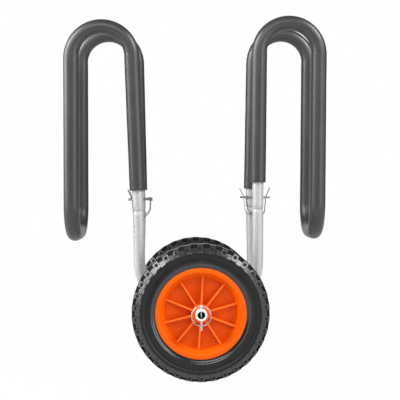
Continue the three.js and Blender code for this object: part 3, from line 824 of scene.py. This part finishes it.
for plane_name, plane in planes.items():
    rim_bm = turned(rim_profile, steps=rim_steps, close=True)
    for rib_number in range(rib_count):
        for face in (1, -1):
            join(rim_bm, rib(rib_number * 360 / rib_count - face * rib_turn, face))
    move(rim_bm, wheel_seat(plane))
    set_piece(f"rim_{plane_name}", rim_bm, [orange_finish, rib_crest_highlight_finish],
              f"wheel_{plane_name}", [f"rim_{plane_name}"], sharp_angle=rim_sharp_angle)

    bush_bm = turned(bush_profile, close=True)
    move(bush_bm, wheel_seat(plane))
    set_piece(f"bush_{plane_name}", bush_bm, [nylon_finish], f"wheel_{plane_name}",
              [f"hub_bush_{plane_name}"])


# The tyres are moulded solid in black rubber. Each has two staggered rows of blocks with a dimple,
# which wrap over the shoulders, a small lug between each two on the shoulder, a slightly hollow
# wall and a rolled bead. The blocks and lugs are buffed, and their faces are painted lighter, a
# painted highlight. The grooves and dimples are dull and painted darker, a painted shade. The bead
# is polished.
pitch_count = 34
columns = 10
block_columns, lug_columns, dimple_columns = range(0, 5), range(5, 10), range(1, 4)
block_rows, lug_rows, dimple_rows = (2, 14), (9, 14), (9, 10)
block_start = -len(block_columns) / 2
lug_width_share = 0.84
dimple_edge, dimple_depth = 0.0007, 0.0011
tread_round, tread_round_angle, tread_inner_radius = 0.00035, 40, 0.127
wall_height = 0.033
bead_polish_radius = 0.1090
tyre_sharp_angle = 32

rubber_finish = make_finish(
    "rubber", ((0.0105, 0.0107, 0.0113), (0.0155, 0.0157, 0.0165)), roughness=(0.32, 0.38),
    metal=0.0, grain=(700, 0.15, 0.0004), patches=(45, 0.25), specular=0.27)
# The darker rubber of the grooves and dimples is a painted shade; their higher roughness is dull
# moulding.
recess_shade_finish = make_finish(
    "dull rubber, painted shade", ((0.008, 0.008, 0.0085), (0.013, 0.013, 0.0138)), roughness=(0.6, 0.75),
    metal=0.0, grain=(700, 0.2, 0.0004), patches=(45, 0.25), specular=0.12)
# The blocks' lighter rubber is a painted highlight; their lower roughness is buffing.
block_highlight_finish = make_finish(
    "buffed rubber, painted highlight", ((0.021, 0.0212, 0.0222), (0.031, 0.0312, 0.0328)), roughness=(0.27, 0.34),
    metal=0.0, grain=(700, 0.15, 0.0003), patches=(120, 0.25), specular=0.55)
bead_finish = make_finish(
    "polished rubber", ((0.0095, 0.0097, 0.0102), (0.0135, 0.0137, 0.0144)), roughness=(0.18, 0.24),
    metal=0.0, grain=(700, 0.1, 0.0003), patches=(60, 0.25), specular=0.8)
tyre_finishes = [rubber_finish, recess_shade_finish, block_highlight_finish, bead_finish]
recess_shade_index, block_highlight_index, bead_index = 1, 2, 3

# Each row of the half tyre from the middle groove over the wall and bead to the seat: radius and
# height of the carcass, then of a block's face and of a lug's face where it has them.
tyre_rows = [
    ((0.1478, 0.0000),),
    ((0.1478, 0.0014),),
    ((0.1462, 0.0018), (0.1500, 0.0022)),
    ((0.1462, 0.0090), (0.1500, 0.0090)),
    ((0.1495, 0.0098), (0.1500, 0.0100)),
    ((0.1496, 0.0152), (0.1500, 0.0154)),
    ((0.1489, 0.0160), (0.1499, 0.0182)),
    ((0.1466, 0.0166), (0.1494, 0.0204)),
    ((0.1444, 0.0185), (0.1478, 0.0228)),
    ((0.1424, 0.0205), (0.1446, 0.0253), (0.1424, 0.0259)),
    ((0.1400, 0.0235), (0.1394, 0.0294), (0.1400, 0.0278)),
    ((0.1374, 0.0262), (0.1366, 0.0316), (0.1372, 0.0300)),
    ((0.1350, 0.0285), (0.1346, 0.0332), (0.1350, 0.0317)),
    ((0.1330, 0.0305), (0.1328, 0.0345), (0.1330, 0.0335)),
    ((0.1314, 0.0347),), ((0.1268, 0.0349),), ((0.1256, 0.0345),), ((0.1246, 0.0334),),
    ((0.1228, 0.0326),), ((0.1200, 0.0322),), ((0.1160, 0.0324),), ((0.1120, 0.0331),),
    ((0.1100, 0.0337),), ((0.1086, 0.0340),), ((0.1076, 0.0336),), ((0.1062, 0.0326),),
    ((0.1048, 0.0316),), ((0.1034, 0.0309),), ((0.1012, 0.0303),), ((0.0995, 0.0297),),
    ((0.0915, 0.0297),), ((0.0915, 0.0000),),
]
block_face, lug_face = 1, 2


def radius_of(point):
    """How far a point is from a wheel's axis."""
    return math.hypot(point.x, point.z)


def row_of(vert):
    """The row of the half tyre's carcass that a vertex lies on."""
    place = (radius_of(vert.co), vert.co.y)
    return min(range(len(tyre_rows)), key=lambda row: math.dist(tyre_rows[row][0], place))


def half_tyre(first_column):
    """One half of the tyre, from its middle groove to its seat on the rim, with its blocks."""
    bm = bmesh.new()
    points = [bm.verts.new((0, along, radius)) for (radius, along), *_ in tyre_rows]
    for pair in zip(points, points[1:]):
        bm.edges.new(pair)
    spin_round(bm, y_axis, pitch_count * columns)
    wall = [face for face in bm.faces if face.calc_center_median().y > wall_height]
    if sum(face.normal.y for face in wall) < 0:
        bmesh.ops.reverse_faces(bm, faces=bm.faces)
    rows = {vert: row_of(vert) for vert in bm.verts}

    def patch(row_span, picked_columns):
        """The faces in a span of rows and in some columns of each pitch."""
        picked = []
        for face in bm.faces:
            if any(vert not in rows for vert in face.verts):
                continue
            face_rows = [rows[vert] for vert in face.verts]
            if min(face_rows) < row_span[0] or max(face_rows) > row_span[1]:
                continue
            middle = face.calc_center_median()
            turned_by = math.degrees(math.atan2(middle.x, middle.z)) % 360
            column = math.floor(turned_by / 360 * pitch_count * columns - first_column) % columns
            if column in picked_columns:
                picked.append(face)
        return picked

    def raise_patch(row_span, picked_columns, raised, width_share):
        """Raises the faces of a patch to those of the blocks or lugs, and narrows them."""
        faces = patch(row_span, picked_columns)
        middle_share = (first_column + picked_columns[0] + len(picked_columns) / 2) / columns
        for face in faces:
            # The raised blocks and lugs get the lighter rubber, a painted highlight.
            face.material_index = block_highlight_index
        made = bmesh.ops.extrude_face_region(bm, geom=faces)["geom"]
        bmesh.ops.delete(bm, geom=faces, context="FACES_ONLY")
        for vert in only(bmesh.types.BMVert, made):
            row = row_of(vert)
            places = tyre_rows[row]
            radius, height = places[raised] if len(places) > raised else places[0]
            pitches_round = math.atan2(vert.co.x, vert.co.z) / math.tau * pitch_count
            off_middle = (pitches_round - middle_share + 0.5) % 1 - 0.5
            pitches_round -= off_middle * (1 - width_share)
            angle = pitches_round / pitch_count * math.tau
            vert.co = (math.sin(angle) * radius, height, math.cos(angle) * radius)
            rows[vert] = row

    # The grooves between the blocks get the darker rubber, a painted shade.
    for face in patch(block_rows, range(columns)):
        face.material_index = recess_shade_index
    raise_patch(lug_rows, lug_columns, lug_face, lug_width_share)
    raise_patch(block_rows, block_columns, block_face, 1)
    bm.normal_update()
    dimples = patch(dimple_rows, dimple_columns)
    bmesh.ops.inset_region(bm, faces=dimples, thickness=dimple_edge, depth=-dimple_depth,
                           use_even_offset=True)
    # The dimples get the darker rubber too, a painted shade.
    for face in dimples:
        face.material_index = recess_shade_index
    for face in bm.faces:
        if radius_of(face.calc_center_median()) < bead_polish_radius:
            face.material_index = bead_index
    bmesh.ops.remove_doubles(bm, verts=bm.verts, dist=seam_gap)
    corners = [edge for edge in bm.edges if edge.is_manifold and edge.is_convex
               and edge.calc_face_angle(0) > math.radians(tread_round_angle)
               and edge.calc_length() > tread_round
               and all(radius_of(vert.co) > tread_inner_radius for vert in edge.verts)]
    round_edges(bm, corners, tread_round, 1, clamp_overlap=True)
    return bm


for plane_name, plane in planes.items():
    tyre_bm, inner_bm = half_tyre(block_start), half_tyre(block_start + columns // 2)
    mirror(inner_bm)
    join(tyre_bm, inner_bm)
    bmesh.ops.remove_doubles(tyre_bm, verts=tyre_bm.verts, dist=seam_gap)
    move(tyre_bm, wheel_seat(plane))
    set_piece(f"tyre_{plane_name}", tyre_bm, tyre_finishes, f"wheel_{plane_name}",
              [f"tyre_{plane_name}"], sharp_angle=tyre_sharp_angle)


# A black nylon ring on the axle keeps each wheel off its lower frame. It is pushed on, and only the
# frame and the wheel hold it in place.
spacer_inner, spacer_outer = 0.1048, 0.1167
spacer_radius, spacer_bore = 0.0163, 0.0128
spacer_round = 0.0006

for plane_name, plane in planes.items():
    low, high = sorted((plane * spacer_inner, plane * spacer_outer))
    spacer_bm = turned(ring_profile(spacer_bore, spacer_radius, low, high, spacer_round),
                       close=True)
    move(spacer_bm, Matrix.Translation((0, 0, axle_height)))
    set_piece(f"spacer_{plane_name}", spacer_bm, [nylon_finish], "frame",
              [f"wheel_spacer_{plane_name}"])


# A lynch pin drops through each end of the axle. Its sprung ring is hinged in the pin's head, hangs
# in front of the axle and is pulled up over its end to free the pin. Both are steel, zinc plated.
lynch_radius = 0.0025
lynch_head_radius, lynch_head_rise = 0.0037, 0.0185
lynch_eye_radius = 0.0017
lynch_drop = 0.034
lynch_collar, lynch_collar_radius = axle_radius + slip_gap, 0.0030
lynch_sides = 32
ring_radius, ring_wire = 0.0208, 0.0012
ring_steps, ring_sides = 64, 16
ring_lean = math.asin((lynch_radius + ring_wire + slip_gap) / (2 * ring_radius))

ring_finish = make_finish(
    "plated spring wire", ((0.40, 0.42, 0.45), (0.56, 0.58, 0.61)), roughness=(0.26, 0.38),
    metal=0.9, grain=(1800, 0.2, 0.0002), patches=(160, 0.25))

lynch_profile = (
    around((0, -lynch_drop), (0, 0), (0.0009, 0), (0.0014, 0.0003), (lynch_radius, 0.0022))
    + [(lynch_radius, lynch_collar), (lynch_collar_radius, lynch_collar)]
    + around((0, lynch_head_rise), (0.0033, -0.0026), (lynch_head_radius, -0.0012),
             (lynch_head_radius, 0.0010), (0.0031, 0.0022), (0.0019, 0.0031),
             (0.0008, 0.0034), (0, 0.0034))
)

for plane_name, plane in planes.items():
    lynch_bm = turned(lynch_profile, steps=lynch_sides)
    move(lynch_bm, Matrix.Rotation(math.pi / 2, 4, "X"))
    lynch_bm = drill(lynch_bm, rod(lynch_eye_radius, 4 * lynch_head_radius,
                                   (0, 0, lynch_head_rise), x_axis))
    move(lynch_bm, Matrix.Translation((0, plane * lynch_place, axle_height)))
    set_piece(f"lynch_pin_{plane_name}", lynch_bm, [zinc_finish], "frame",
              [f"lynch_pin_{plane_name}"])

    ring_bm = bmesh.new()
    bmesh.ops.create_circle(
        ring_bm, segments=ring_sides, radius=ring_wire,
        matrix=Matrix.Translation((0, 0, -ring_radius)) @ Matrix.Rotation(math.pi / 2, 4, "Y"))
    spin_round(ring_bm, y_axis, ring_steps)
    move(ring_bm, Matrix.Translation((0, plane * lynch_place, axle_height + lynch_head_rise)),
         Matrix.Rotation(plane * ring_lean, 4, "X"), Matrix.Translation((0, 0, -ring_radius)))
    set_piece(f"lynch_ring_{plane_name}", ring_bm, [ring_finish], f"ring_{plane_name}",
              [f"lynch_ring_{plane_name}"])
